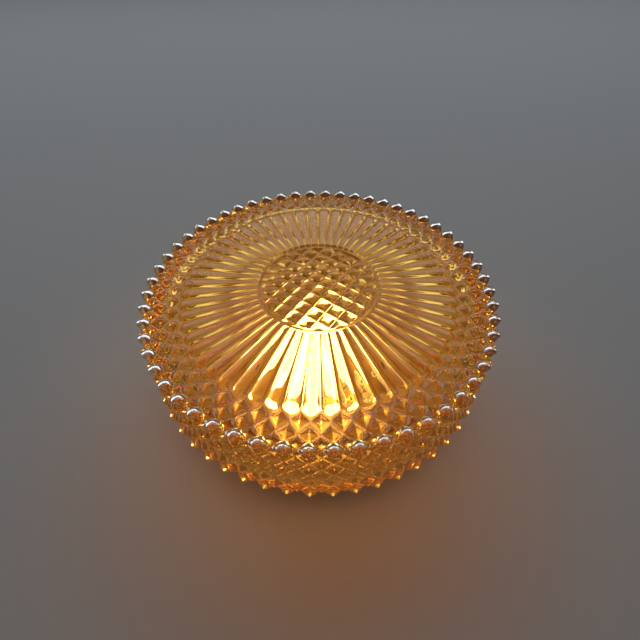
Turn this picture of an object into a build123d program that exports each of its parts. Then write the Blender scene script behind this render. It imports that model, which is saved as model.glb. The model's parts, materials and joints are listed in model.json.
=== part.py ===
from build123d import *
import os
from math import cos, hypot, radians, sin, tan

# A flush ceiling light: a pressed-glass shade held in a sheet-steel ceiling plate by
# three thumbscrews, with one lamp lying across the plate on a bracket.
# Millimetres. The origin is the centre of the ceiling plate's back face, +Z points
# from the ceiling towards the lens of the shade. The lamp and its wiring are laid out
# with the lamp along X, and LAMP_TURN then turns that whole group about Z.

# ---- Shade: outside ----
FACE_Z = 105.0  # top of the lens and of the outermost ring of studs
LENS_R = 42.0
PETAL_Z = 101.2
PETAL_END_R = 96.0
STUD_HEIGHT = 5.6
SHOULDER_STUD_HEIGHT = 4.0
SHOULDER_RINGS = 3
SHOULDER_PITCH = 7.0
SHOULDER_FALL = 0.4  # how much lower each ring is than the next one out
WALL_ROWS = 8
WALL_ROW_PITCH = 7.3
CORNER_DROP = 4.3  # from the corner ring down to the first wall row
CORNER_R = 125.0  # over the outermost ring of studs on the face
WALL_TOP_R = 124.2
WALL_FLARE = 0.39  # growth of the stud radius from one row to the next
# ---- Shade: underside, neck and inside ----
BELLY_R = 120.5
BELLY_Z = 45.0
BELLY_MID = (109.0, 29.6)
NECK_OUTER_R = 92.0
NECK_INNER_R = 87.5
NECK_TOP_Z = 20.0
NECK_BOTTOM_Z = 3.1
INSIDE_TOP_Z = 94.5
INSIDE_TOP_R = 108.0
INSIDE_CORNER_MID = (112.0, 92.6)
INSIDE_WALL_TOP = (113.5, 88.5)
INSIDE_WALL_FOOT = (115.5, 48.0)
INSIDE_BELLY_MID = (104.6, 33.6)
INSIDE_NECK_TOP_Z = 19.0

# ---- Ceiling plate ----
SHEET = 1.0
PLATE_R = 102.0
RIM_FOOT_R = 95.5
RIM_TOP_Z = 18.0
FLOOR_Z = 5.0  # upper face of the raised floor
FLOOR_R = 81.0
STEP_R = 83.0
BEAD_R = 0.9
SLOT_SPACING = 120.0
SLOT_LENGTH = 12.0
SLOT_WIDTH = 5.0
GASKET_INNER_R = 85.5
GASKET_OUTER_R = 94.0
GASKET_TOP_Z = 3.0

# ---- Thumbscrews ----
SCREW_ANGLES = (90, 210, 330)
SCREW_Z = 10.5
THREAD_R = 2.0
RUNNING_GAP = 0.05
BOSS_SHANK_R = 3.2
BOSS_FLANGE_R = 5.0
BOSS_INNER_END = 99.0
TIP_GAP = 0.3
TIP_LENGTH = 3.2
TIP_R = 2.7
NOSE_R = 1.1
NOSE_LENGTH = 1.8
KNOB_START = 103.6
KNOB_LENGTH = 6.0
KNOB_R = 6.5
KNOB_GROOVES = 20
COLLAR_R = 3.6

# ---- Turn of the lamp, its bracket and the wiring about Z ----
LAMP_TURN = -105.0

# ---- Cable entry, on the light's own axis ----
CABLE_R = 4.0
GROMMET_HOLE_R = 6.0
GROMMET_FLANGE_R = 8.0
GROMMET_FLANGE = 1.8

# ---- Terminal block ----
BLOCK_AT = (20.0, 42.0)
BLOCK_SIZE = (30.0, 18.0, 13.0)
POLE_PITCH = 10.0
POLE_Z = 10.5
TUBE_R = 2.6
TUBE_BORE_R = 1.6
TUBE_LENGTH = 16.0
TOWER_R = 3.3
TOWER_TOP_Z = 20.0
CLAMP_SPACING = 9.0
CLAMP_SCREW_R = 1.4
CLAMP_HEAD_R = 1.9
BLOCK_SCREW_X = 25.0

# ---- Lampholder and its bracket ----
LAMP_Z = 48.0
HOLDER_BACK = -58.0
HOLDER_FRONT = -20.0
HOLDER_R = 21.0
HOLDER_WALL = 8.0
HOLDER_MOUTH_R = 16.0
MOUTH_DEPTH = 6.0
SHELL_OUTER_R = 14.0
SHELL_INNER_R = 13.25
LEAD_HOLE_R = 1.6
HOLDER_SCREW_R = 1.5
TERMINAL_SCREW_R = 1.3
LEAD_HOLE_TOP = 40.0
LEAD_Y = 8.0
LEAD_UNDER_FRONT_X = -22.0
LEAD_X = -54.0
HOLDER_SCREW_DROP = 12.0
HOLDER_SCREW_DEPTH = 6.5
TERMINAL_Z = 35.0
BRACKET_SHEET = 1.2
BRACKET_HALF_WIDTH = 14.0
BRACKET_TOP_Z = 66.0
BRACKET_FOOT_END = -32.0
BRACKET_BEND = 2.5
BRACKET_SCREWS_X = (-38.0, -49.0)

# ---- Lamp, E27 screw cap, pear-shaped bulb ----
BULB_R = 30.0
BULB_CENTRE = 28.0
BULB_NECK_R = 12.6
BULB_NECK_X = -26.0
BULB_NECK_END = -34.0
BULB_GLASS = 0.7
CAP_R = 13.1
CAP_ROOT_R = 12.75
CAP_WALL = 0.3
CAP_FRONT = -22.0
CAP_BACK = -43.0
CAP_THREAD_PITCH = 3.63
CONTACT_R = 4.6
CONTACT_BACK = -47.0
CONTACT_FRONT = -45.2
INSULATOR_R = 11.5
STEM_R = 4.0
PINCH_FRONT = 3.0
FILAMENT_X = 28.0
FILAMENT_HALF = 14.0

# ---- Leads and earth ----
LEAD_R = 1.1
LEAD_Z = 8.4  # of the lamp's leads over the floor
LIVE_BENDS = ((0.0, 17.0),)
NEUTRAL_BENDS = ((18.0, 2.0), (3.0, -13.0))  # round the cable entry
EARTH_AT = (48.0, 4.0)
LUG_SHEET = 0.8
BARREL_Z = 7.5
BARREL_R = 1.8
BARREL_START = 5.0  # from the earth screw's axis
BARREL_END = 9.5

BASE = (Align.CENTER, Align.CENTER, Align.MIN)


def post(radius, bottom, top, at=(0.0, 0.0)):
    """A cylinder along Z between two heights."""
    return Pos(at[0], at[1], bottom) * Cylinder(radius, top - bottom, align=BASE)


def rod_x(radius, start, end, y=0.0, z=0.0):
    """A cylinder along X between two stations."""
    return Pos(start, y, z) * Rot(0, 90, 0) * Cylinder(radius, end - start, align=BASE)


def rod_y(radius, start, end, x=0.0, z=0.0):
    """A cylinder along Y between two stations."""
    return Pos(x, start, z) * Rot(-90, 0, 0) * Cylinder(radius, end - start, align=BASE)


def turned(points):
    """A solid turned about Z from (radius, height) points."""
    outline = Polyline(*[(r, 0, z) for r, z in points], close=True)
    return revolve(make_face(outline), Axis.Z)


def hex_nut(width, bottom, top, hole_r, at):
    """A hexagon nut along Z."""
    body = extrude(RegularPolygon(width / 2, 6, major_radius=False), top - bottom)
    nut = Pos(at[0], at[1], bottom) * body
    return nut - post(hole_r, bottom, top, at)


def pan_head(radius, height, slot_width=0.8):
    """A slotted screw head that stands on Z = 0."""
    head = post(radius, 0, height)
    head = chamfer(head.edges().group_by(Axis.Z)[-1], 0.25 * height)
    slot = Pos(0, 0, height) * Box(2.2 * radius, slot_width, height)
    return head - slot


def machine_screw(radius, head_r, head_height, bottom, seat, at):
    """A slotted screw down along Z: its head stands on the seat height."""
    head = Pos(at[0], at[1], seat) * pan_head(head_r, head_height)
    return head + post(radius, bottom, seat, at)


def turned_about_lamp(points):
    """A solid turned about the lamp's axis from (station, radius) points."""
    outline = Polyline(*[(x, 0, r) for x, r in points], close=True)
    return Pos(0, 0, LAMP_Z) * revolve(make_face(outline), Axis.X)


# ---------------------------------------------------------------- shade
def stud_outline():
    """The outside from the petals' ends over the shoulder and down the wall."""
    points = [(PETAL_END_R, PETAL_Z)]
    for ring in range(SHOULDER_RINGS, 0, -1):
        tip_z = FACE_Z - SHOULDER_FALL * ring
        tip_r = WALL_TOP_R - SHOULDER_PITCH * ring
        valley = (tip_r - SHOULDER_PITCH / 2, tip_z - SHOULDER_STUD_HEIGHT)
        if ring < SHOULDER_RINGS:
            points.append(valley)
        points.append((tip_r, tip_z))
    points.append((WALL_TOP_R - SHOULDER_PITCH / 2, FACE_Z - SHOULDER_STUD_HEIGHT))
    points.append((CORNER_R, FACE_Z))
    for row in range(1, WALL_ROWS + 1):
        tip_r = WALL_TOP_R + WALL_FLARE * row
        tip_z = FACE_Z - CORNER_DROP - WALL_ROW_PITCH * (row - 1)
        rise = CORNER_DROP if row == 1 else WALL_ROW_PITCH
        depth = STUD_HEIGHT * rise / WALL_ROW_PITCH
        points.append((tip_r - depth, tip_z + rise / 2))
        points.append((tip_r, tip_z))
    points.append((BELLY_R, BELLY_Z))
    return points


def glass_shade():
    """The shade as a turned shell whose ridges follow the rings of studs."""
    flat = lambda p: (p[0], 0, p[1])
    outside = [(0, FACE_Z), (LENS_R, FACE_Z), (LENS_R, PETAL_Z)] + stud_outline()
    belly = ThreePointArc(
        flat((BELLY_R, BELLY_Z)), flat(BELLY_MID), flat((NECK_OUTER_R, NECK_TOP_Z))
    )
    neck = Polyline(
        flat((NECK_OUTER_R, NECK_TOP_Z)),
        flat((NECK_OUTER_R, NECK_BOTTOM_Z)),
        flat((NECK_INNER_R, NECK_BOTTOM_Z)),
        flat((NECK_INNER_R, INSIDE_NECK_TOP_Z)),
    )
    inside_belly = ThreePointArc(
        flat((NECK_INNER_R, INSIDE_NECK_TOP_Z)),
        flat(INSIDE_BELLY_MID),
        flat(INSIDE_WALL_FOOT),
    )
    inside_wall = Line(flat(INSIDE_WALL_FOOT), flat(INSIDE_WALL_TOP))
    corner = ThreePointArc(
        flat(INSIDE_WALL_TOP),
        flat(INSIDE_CORNER_MID),
        flat((INSIDE_TOP_R, INSIDE_TOP_Z)),
    )
    inside_top = Polyline(
        flat((INSIDE_TOP_R, INSIDE_TOP_Z)), flat((0, INSIDE_TOP_Z)), flat((0, FACE_Z))
    )
    edges = Polyline(*[flat(p) for p in outside])
    outline = [edges, belly, neck, inside_belly, inside_wall, corner, inside_top]
    return revolve(make_face(outline), Axis.Z)


# ---------------------------------------------------------------- ceiling plate
def ceiling_plate():
    """The pressed plate: a flat ring on the ceiling and a raised floor inside it."""
    dish = turned(
        [
            (0, FLOOR_Z - SHEET),
            (FLOOR_R - SHEET, FLOOR_Z - SHEET),
            (STEP_R - SHEET, 0),
            (PLATE_R, 0),
            (PLATE_R, SHEET),
            (STEP_R, SHEET),
            (FLOOR_R, FLOOR_Z),
            (0, FLOOR_Z),
        ]
    )
    slot = extrude(SlotOverall(SLOT_LENGTH, SLOT_WIDTH), 2 * FLOOR_Z)
    for side in (-1, 1):
        dish -= Pos(side * SLOT_SPACING / 2, 0, 0) * slot
    holes = post(GROMMET_HOLE_R, 0, 2 * FLOOR_Z)
    for x in BRACKET_SCREWS_X:
        holes += post(1.6, 0, 2 * FLOOR_Z, (x, 0))
    holes += post(1.6, 0, 2 * FLOOR_Z, (BLOCK_SCREW_X, BLOCK_AT[1]))
    holes += post(THREAD_R, 0, 2 * FLOOR_Z, EARTH_AT)
    return dish - Rot(0, 0, LAMP_TURN) * holes


def plate_rim():
    """The rim welded to the flat ring: a foot, an upright wall and a rolled bead."""
    rim = turned(
        [
            (RIM_FOOT_R, SHEET),
            (PLATE_R, SHEET),
            (PLATE_R, RIM_TOP_Z),
            (PLATE_R - SHEET, RIM_TOP_Z),
            (PLATE_R - SHEET, 2 * SHEET),
            (RIM_FOOT_R, 2 * SHEET),
        ]
    )
    bead = Plane.XZ * Pos(PLATE_R + BEAD_R - SHEET, RIM_TOP_Z) * Circle(BEAD_R)
    rim += revolve(bead, Axis.Z)
    for angle in SCREW_ANGLES:
        rim -= Rot(0, 0, angle) * rod_x(BOSS_SHANK_R, 95, 105, z=SCREW_Z)
    return rim


def shade_gasket():
    """The felt ring that the neck of the shade stands on."""
    return turned(
        [
            (GASKET_INNER_R, SHEET),
            (GASKET_OUTER_R, SHEET),
            (GASKET_OUTER_R, GASKET_TOP_Z),
            (GASKET_INNER_R, GASKET_TOP_Z),
        ]
    )


def thumbscrew_bosses():
    """Three threaded bosses riveted into the rim."""
    inside = PLATE_R - SHEET
    boss = rod_x(BOSS_FLANGE_R, BOSS_INNER_END, inside, z=SCREW_Z)
    boss = chamfer(boss.edges().group_by(Axis.X)[0], 0.8)
    boss += rod_x(BOSS_SHANK_R, inside - 1, PLATE_R + 0.4, z=SCREW_Z)
    boss -= rod_x(THREAD_R + RUNNING_GAP, BOSS_INNER_END - 1, PLATE_R + 2, z=SCREW_Z)
    curve = post(inside, 0, RIM_TOP_Z) & rod_x(BOSS_FLANGE_R, 90, inside, z=SCREW_Z)
    shank = rod_x(BOSS_SHANK_R, BOSS_INNER_END, PLATE_R + 0.4, z=SCREW_Z)
    boss = boss & (curve + shank)
    return Compound([Rot(0, 0, angle) * boss for angle in SCREW_ANGLES])


def screw_tip(angle):
    """The rubber button that a thumbscrew presses on the neck of the shade."""
    start = NECK_OUTER_R + TIP_GAP
    tip = rod_x(TIP_R, start, start + TIP_LENGTH, z=SCREW_Z)
    tip = fillet(tip.edges().group_by(Axis.X)[0], 0.7)
    hole_start = start + TIP_LENGTH - NOSE_LENGTH - 0.2
    tip -= rod_x(NOSE_R + RUNNING_GAP, hole_start, start + 2 * TIP_LENGTH, z=SCREW_Z)
    return Rot(0, 0, angle) * tip


def thumbscrew(angle):
    """A knurled screw with a nose that turns inside its rubber button."""
    shoulder = NECK_OUTER_R + TIP_GAP + TIP_LENGTH + 0.1
    screw = rod_x(NOSE_R, shoulder - NOSE_LENGTH - 0.1, shoulder, z=SCREW_Z)
    screw += rod_x(THREAD_R, shoulder, KNOB_START, z=SCREW_Z)
    knob_end = KNOB_START + KNOB_LENGTH
    knob = rod_x(KNOB_R, KNOB_START + 1, knob_end)
    knob = chamfer(knob.edges().filter_by(GeomType.CIRCLE), 0.6)
    for step in range(KNOB_GROOVES):
        groove = rod_x(0.55, KNOB_START, knob_end + 1, y=KNOB_R + 0.15)
        knob -= Rot(step * 360 / KNOB_GROOVES, 0, 0) * groove
    knob += rod_x(COLLAR_R, KNOB_START, KNOB_START + 1.5)
    return Rot(0, 0, angle) * (screw + Pos(0, 0, SCREW_Z) * knob)


# ---------------------------------------------------------------- wiring
def cable_grommet():
    """A rubber grommet with a flange on each side of the raised floor."""
    under = FLOOR_Z - SHEET - GROMMET_FLANGE
    over = FLOOR_Z + GROMMET_FLANGE
    return turned(
        [
            (CABLE_R, under),
            (GROMMET_FLANGE_R - 0.6, under),
            (GROMMET_FLANGE_R, FLOOR_Z - SHEET),
            (GROMMET_HOLE_R, FLOOR_Z - SHEET),
            (GROMMET_HOLE_R, FLOOR_Z),
            (GROMMET_FLANGE_R, FLOOR_Z),
            (GROMMET_FLANGE_R - 0.6, over),
            (CABLE_R, over),
        ]
    )


def pole_stations():
    return [BLOCK_AT[0] + side * POLE_PITCH for side in (-1, 0, 1)]


def clamp_stations():
    return [BLOCK_AT[1] + side * CLAMP_SPACING / 2 for side in (-1, 1)]


def terminal_block_body():
    """The three-pole block: a slab with a tower over each clamp screw."""
    x, y = BLOCK_AT
    block = Pos(x, y, FLOOR_Z) * Box(*BLOCK_SIZE, align=BASE)
    block = fillet(block.edges().filter_by(Axis.Z), 1.5)
    block = chamfer(block.edges().group_by(Axis.Z)[-1], 0.8)
    top = FLOOR_Z + BLOCK_SIZE[2]
    for px in pole_stations():
        for py in clamp_stations():
            block += post(TOWER_R, top - 2, TOWER_TOP_Z, (px, py))
    for px in pole_stations():
        block -= rod_y(TUBE_R, y - 20, y + 20, px, POLE_Z)
        for py in clamp_stations():
            block -= post(CLAMP_HEAD_R + 0.2, POLE_Z, TOWER_TOP_Z + 1, (px, py))
    return block - post(1.6, 0, TOWER_TOP_Z, (BLOCK_SCREW_X, y))


def terminal_tubes():
    """The brass tube of each pole."""
    y = BLOCK_AT[1]
    tubes = []
    for px in pole_stations():
        tube = rod_y(TUBE_R, y - TUBE_LENGTH / 2, y + TUBE_LENGTH / 2, px, POLE_Z)
        tube -= rod_y(TUBE_BORE_R, y - 20, y + 20, px, POLE_Z)
        for py in clamp_stations():
            tube -= post(CLAMP_SCREW_R, POLE_Z, TOWER_TOP_Z, (px, py))
        tubes.append(tube)
    return Compound(tubes)


def terminal_screws():
    """Two clamp screws in each pole."""
    seat = POLE_Z + TUBE_R + 0.5
    bottom = POLE_Z + LEAD_R
    screws = []
    for px in pole_stations():
        for py in clamp_stations():
            screws.append(
                machine_screw(CLAMP_SCREW_R, CLAMP_HEAD_R, 2.0, bottom, seat, (px, py))
            )
    return Compound(screws)


def terminal_block_screw():
    at = (BLOCK_SCREW_X, BLOCK_AT[1])
    seat = FLOOR_Z + BLOCK_SIZE[2]
    return machine_screw(1.5, 1.9, 1.6, 0.8, seat, at)


def terminal_block_nut():
    at = (BLOCK_SCREW_X, BLOCK_AT[1])
    return hex_nut(5.5, FLOOR_Z - SHEET - 2.4, FLOOR_Z - SHEET, 1.5, at)


def lead(points):
    """A round lead along straight runs with tangent arcs between them."""
    runs = [Vector(*b) - Vector(*a) for a, b in zip(points, points[1:])]
    radii = []
    for before, after in zip(runs, runs[1:]):
        turn = radians(before.get_angle(after))
        radii.append(0.45 * min(before.length, after.length) / tan(turn / 2))
    print("lead radii", [round(r, 1) for r in radii])
    path = FilletPolyline(*points, radius=radii)
    start = Plane(origin=points[0], z_dir=runs[0])
    return sweep(start * Circle(LEAD_R), path=path)


def lamp_lead(pole, side, bends):
    """A lead from a pole of the block to a terminal of the lampholder."""
    px = pole_stations()[pole]
    y = BLOCK_AT[1]
    return lead(
        [
            (px, y - CLAMP_SPACING / 2 - 2, POLE_Z),
            (px, y - 14, POLE_Z),
            *[(bend_x, bend_y, LEAD_Z) for bend_x, bend_y in bends],
            (LEAD_UNDER_FRONT_X, side * LEAD_Y, LEAD_Z),
            (LEAD_X, side * LEAD_Y, 10.0),
            (LEAD_X, side * LEAD_Y, LEAD_HOLE_TOP - 2),
        ]
    )


def earth_lead():
    """The lead from the third pole to the earth lug."""
    px = pole_stations()[2]
    y = BLOCK_AT[1]
    ex, ey = EARTH_AT
    return lead(
        [
            (px, y - CLAMP_SPACING / 2 - 2, POLE_Z),
            (px, y - 17, POLE_Z),
            (ex, ey + 15, BARREL_Z),
            (ex, ey + BARREL_START + 1, BARREL_Z),
        ]
    )


def earth_lug():
    """A ring lug with a rolled barrel that holds the end of the earth lead."""
    ex, ey = EARTH_AT
    low = FLOOR_Z
    lug = post(4.0, low, low + LUG_SHEET, EARTH_AT)
    lug += Pos(ex, ey + 4.0, low) * Box(3.4, 6.0, LUG_SHEET, align=BASE)
    lug += Pos(ex, ey + 6.2, low) * Box(2.4, 2.4, BARREL_Z - low, align=BASE)
    lug += rod_y(BARREL_R, ey + BARREL_START, ey + BARREL_END, ex, BARREL_Z)
    lug -= rod_y(LEAD_R, ey + BARREL_START + 1, ey + 20, ex, BARREL_Z)
    return lug - post(THREAD_R, 0, 10, EARTH_AT)


def earth_washer():
    """A cupped lock washer under the head of the earth screw."""
    low = FLOOR_Z + LUG_SHEET
    return post(3.9, low, low + 0.8, EARTH_AT) - post(THREAD_R, 0, 10, EARTH_AT)


def earth_screw():
    seat = FLOOR_Z + LUG_SHEET + 0.8
    return machine_screw(THREAD_R, 3.6, 2.4, 0.6, seat, EARTH_AT)


def earth_nut():
    return hex_nut(7.0, FLOOR_Z - SHEET - 3.0, FLOOR_Z - SHEET, THREAD_R, EARTH_AT)


# ---------------------------------------------------------------- lampholder
def lampholder_bracket():
    """An L of sheet steel: a foot on the floor and an upright behind the holder."""
    back = HOLDER_BACK - BRACKET_SHEET
    width = 2 * BRACKET_HALF_WIDTH
    corner = (Align.MIN, Align.CENTER, Align.MIN)
    foot_length = BRACKET_FOOT_END - back
    block = Pos(back, 0, FLOOR_Z) * Box(
        foot_length, width, BRACKET_TOP_Z - FLOOR_Z, align=corner
    )
    outer_edge = block.edges().filter_by(Axis.Y).group_by(Axis.Z)[0].sort_by(Axis.X)[0]
    block = fillet(outer_edge, BRACKET_BEND)
    space = Pos(HOLDER_BACK, 0, FLOOR_Z + BRACKET_SHEET) * Box(
        foot_length, width + 2, BRACKET_TOP_Z, align=corner
    )
    inner_edge = space.edges().filter_by(Axis.Y).group_by(Axis.Z)[0].sort_by(Axis.X)[0]
    space = fillet(inner_edge, BRACKET_BEND - BRACKET_SHEET)
    bracket = block - space
    for x in BRACKET_SCREWS_X:
        bracket -= post(1.6, 0, 2 * FLOOR_Z, (x, 0))
    for side in (-1, 1):
        z = LAMP_Z + side * HOLDER_SCREW_DROP
        bracket -= rod_x(1.6, back - 1, HOLDER_BACK + 1, z=z)
    corners = bracket.edges().filter_by(Axis.X).group_by(Axis.Z)[-1]
    return fillet(corners, 6.0)


def bracket_screws():
    seat = FLOOR_Z + BRACKET_SHEET
    return Compound(
        [machine_screw(1.5, 2.8, 2.0, 0.8, seat, (x, 0)) for x in BRACKET_SCREWS_X]
    )


def bracket_nuts():
    top = FLOOR_Z - SHEET
    return Compound([hex_nut(5.5, top - 2.4, top, 1.5, (x, 0)) for x in BRACKET_SCREWS_X])


def holder_screw(z):
    """A screw from behind the bracket into the back of the holder."""
    back = HOLDER_BACK - BRACKET_SHEET
    head = Rot(0, -90, 0) * pan_head(3.0, 2.2)
    shank = rod_x(HOLDER_SCREW_R, back, HOLDER_BACK + HOLDER_SCREW_DEPTH, z=z)
    return shank + Pos(back, 0, z) * head


def holder_screw_stations():
    return [LAMP_Z + side * HOLDER_SCREW_DROP for side in (-1, 1)]


def lampholder_screws():
    return Compound([holder_screw(z) for z in holder_screw_stations()])


def lampholder_body():
    """The porcelain cup: a thick back wall, a bore for the shell and a wider mouth."""
    floor = HOLDER_BACK + HOLDER_WALL
    cup = turned_about_lamp(
        [
            (HOLDER_BACK, 0),
            (HOLDER_BACK, HOLDER_R - 1.5),
            (HOLDER_BACK + 1.5, HOLDER_R),
            (HOLDER_FRONT - 14, HOLDER_R),
            (HOLDER_FRONT - 12, HOLDER_R - 1.2),
            (HOLDER_FRONT - 1.2, HOLDER_R - 1.2),
            (HOLDER_FRONT, HOLDER_R - 2.4),
            (HOLDER_FRONT, HOLDER_MOUTH_R),
            (HOLDER_FRONT - MOUTH_DEPTH, HOLDER_MOUTH_R),
            (HOLDER_FRONT - MOUTH_DEPTH, SHELL_OUTER_R),
            (floor, SHELL_OUTER_R),
            (floor, 0),
        ]
    )
    for z in holder_screw_stations():
        cup -= rod_x(HOLDER_SCREW_R, HOLDER_BACK - 1, HOLDER_BACK + HOLDER_SCREW_DEPTH, z=z)
    for side in (-1, 1):
        cup -= post(LEAD_HOLE_R, 0, LEAD_HOLE_TOP, (LEAD_X, side * LEAD_Y))
        start, end = sorted((side * LEAD_Y, side * 30.0))
        cup -= rod_y(TERMINAL_SCREW_R, start, end, LEAD_X, TERMINAL_Z)
        start, end = sorted((side * 13.0, side * 30.0))
        cup -= rod_y(2.7, start, end, LEAD_X, TERMINAL_Z)
    return cup


def lampholder_shell():
    """The screw shell, pressed into the bore of the holder."""
    floor = HOLDER_BACK + HOLDER_WALL
    return turned_about_lamp(
        [
            (floor, SHELL_OUTER_R),
            (floor, SHELL_OUTER_R - 2.2),
            (floor + 0.7, SHELL_OUTER_R - 2.2),
            (floor + 0.7, SHELL_INNER_R),
            (HOLDER_FRONT - MOUTH_DEPTH, SHELL_INNER_R),
            (HOLDER_FRONT - MOUTH_DEPTH, SHELL_OUTER_R),
        ]
    )


def lampholder_centre_contact():
    """A spring leaf with a raised button under the lamp's contact."""
    floor = HOLDER_BACK + HOLDER_WALL
    leaf = Pos(floor, 0, LAMP_Z) * Box(
        0.6, 18.0, 5.0, align=(Align.MIN, Align.CENTER, Align.CENTER)
    )
    leaf = fillet(leaf.edges().filter_by(Axis.X), 2.0)
    button = rod_x(2.4, floor + 0.6, CONTACT_BACK - 0.3, z=LAMP_Z)
    return leaf + fillet(button.edges().group_by(Axis.X)[-1], 0.8)


def lampholder_terminal_screws():
    """The two clamp screws that hold the leads, in the sides of the holder."""
    screws = []
    for side in (-1, 1):
        head = Rot(-90 * side, 0, 0) * pan_head(2.5, 2.0)
        start, end = sorted((side * (LEAD_Y + LEAD_R), side * 13.0))
        shank = rod_y(TERMINAL_SCREW_R, start, end, LEAD_X, TERMINAL_Z)
        screws.append(shank + Pos(LEAD_X, side * 13.0, TERMINAL_Z) * head)
    return Compound(screws)


# ---------------------------------------------------------------- lamp
def pear_outline(offset):
    """The pear: a ball and a hollow arc, tangent to each other, down to the neck."""
    ball = BULB_R - offset
    neck = BULB_NECK_R - offset
    reach = BULB_CENTRE - BULB_NECK_X
    hollow = (reach**2 + BULB_NECK_R**2 - BULB_R**2) / (2 * (BULB_R - BULB_NECK_R))
    hollow += offset
    span = hypot(reach, neck + hollow)
    back, out = reach / span, (neck + hollow) / span
    join = (BULB_CENTRE - ball * back, 0, ball * out)
    half_angle = 60.0
    ball_mid = (
        BULB_CENTRE + ball * cos(radians(half_angle)),
        0,
        ball * sin(radians(half_angle)),
    )
    lean = radians(0.5 * 35.0)
    hollow_mid = (
        BULB_NECK_X + hollow * sin(lean),
        0,
        neck + hollow - hollow * cos(lean),
    )
    top = (BULB_CENTRE + ball, 0, 0)
    neck_start = (BULB_NECK_X, 0, neck)
    neck_end = (BULB_NECK_END, 0, neck)
    arcs = [
        ThreePointArc(top, ball_mid, join),
        ThreePointArc(join, hollow_mid, neck_start),
        Line(neck_start, neck_end),
    ]
    return arcs, top, neck_end


def bulb_envelope():
    """The thin glass pear, open at the end of its neck."""
    outer, outer_top, outer_end = pear_outline(0.0)
    inner, inner_top, inner_end = pear_outline(BULB_GLASS)
    section = make_face(outer + inner + [Line(outer_top, inner_top), Line(outer_end, inner_end)])
    return Pos(0, 0, LAMP_Z) * revolve(section, Axis.X)


def bulb_cap():
    """The screw cap: rolled rings of thread on a thin brass sleeve."""
    inner = CAP_ROOT_R - CAP_WALL
    points = [(CAP_FRONT, CAP_ROOT_R + 0.35)]
    x = CAP_FRONT - 3.0
    points.append((x, CAP_ROOT_R + 0.35))
    while x - CAP_THREAD_PITCH > CAP_BACK:
        points.append((x - 0.9, CAP_ROOT_R - 0.35))
        points.append((x - CAP_THREAD_PITCH / 2, CAP_R))
        points.append((x - CAP_THREAD_PITCH / 2 - 0.6, CAP_R))
        x -= CAP_THREAD_PITCH
    points.append((x, CAP_ROOT_R - 0.35))
    points.append((CAP_BACK, INSULATOR_R))
    points.append((CAP_BACK, INSULATOR_R - 0.5))
    points.append((x, inner - 0.7))
    points.append((BULB_NECK_END - 1, inner - 0.7))
    points.append((BULB_NECK_END - 0.5, BULB_NECK_R))
    points.append((BULB_NECK_X + 1, BULB_NECK_R))
    points.append((CAP_FRONT, CAP_ROOT_R + 0.05))
    return turned_about_lamp(points)


def bulb_insulator():
    """The black glass cone between the cap and its contact."""
    return turned_about_lamp(
        [
            (CAP_BACK, 0),
            (CAP_BACK, INSULATOR_R - 0.5),
            (CAP_BACK - 0.4, INSULATOR_R - 0.5),
            (CONTACT_FRONT, CONTACT_R + 0.4),
            (CONTACT_FRONT, 0),
        ]
    )


def bulb_contact():
    """The round solder contact at the end of the cap."""
    disc = rod_x(CONTACT_R, CONTACT_BACK, CONTACT_FRONT, z=LAMP_Z)
    return fillet(disc.edges().group_by(Axis.X)[0], 1.2)


def bulb_stem():
    """The glass stem: a flare sealed to the neck, a tube and a flat pinch."""
    flare_r = BULB_NECK_R - BULB_GLASS
    stem = turned_about_lamp(
        [
            (BULB_NECK_END, 0),
            (BULB_NECK_END, flare_r),
            (BULB_NECK_END + 1.0, flare_r),
            (BULB_NECK_END + 6.0, STEM_R),
            (PINCH_FRONT - 8.0, STEM_R),
            (PINCH_FRONT - 8.0, 0),
        ]
    )
    pinch = Pos(PINCH_FRONT, 0, LAMP_Z) * Box(
        9.0, 10.0, 2.6, align=(Align.MAX, Align.CENTER, Align.CENTER)
    )
    stem += fillet(pinch.edges().filter_by(Axis.X), 0.8)
    stem += rod_x(1.3, PINCH_FRONT - 1, PINCH_FRONT + 11, z=LAMP_Z)
    return stem + Pos(PINCH_FRONT + 12, 0, LAMP_Z) * Sphere(2.2)


def wire(start, end, radius):
    """A straight round wire between two points in the lamp's own plane."""
    run = Vector(*end) - Vector(*start)
    section = Plane(origin=start, z_dir=run) * Circle(radius)
    return extrude(section, run.length, dir=run.normalized())


def bulb_lead_wires():
    wires = []
    for side in (-1, 1):
        start = (PINCH_FRONT + 0.2, side * 3.4, LAMP_Z)
        end = (FILAMENT_X, side * FILAMENT_HALF, LAMP_Z)
        wires.append(wire(start, end, 0.35))
    return Compound(wires)


def bulb_support_wires():
    hub = Vector(PINCH_FRONT + 12, 0, LAMP_Z)
    wires = []
    for side in (-1, 1):
        way = Vector(FILAMENT_X + 1.3 - hub.X, side * 5.0, 0)
        start = hub + way.normalized() * 2.3
        end = hub + way.normalized() * (way.length - 0.7)
        wires.append(wire(tuple(start), tuple(end), 0.2))
    return Compound(wires)


def bulb_filament():
    """The filament as one slender bowed rod from lead wire to lead wire."""
    ends = [(FILAMENT_X + 0.9, side * FILAMENT_HALF, LAMP_Z) for side in (-1, 1)]
    middle = (FILAMENT_X + 2.0, 0, LAMP_Z)
    path = ThreePointArc(ends[0], middle, ends[1])
    section = Plane(origin=ends[0], z_dir=path % 0) * Circle(0.5)
    return sweep(section, path=path)


def fixed_parts():
    """The nodes laid out about the light's own axis, by name."""
    nodes = {
        "glass_shade": glass_shade(),
        "ceiling_plate": ceiling_plate(),
        "plate_rim": plate_rim(),
        "shade_gasket": shade_gasket(),
        "thumbscrew_bosses": thumbscrew_bosses(),
        "cable_grommet": cable_grommet(),
    }
    for number, angle in enumerate(SCREW_ANGLES, start=1):
        nodes[f"screw_tip_{number}"] = screw_tip(angle)
        nodes[f"thumbscrew_{number}"] = thumbscrew(angle)
    return nodes


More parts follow.
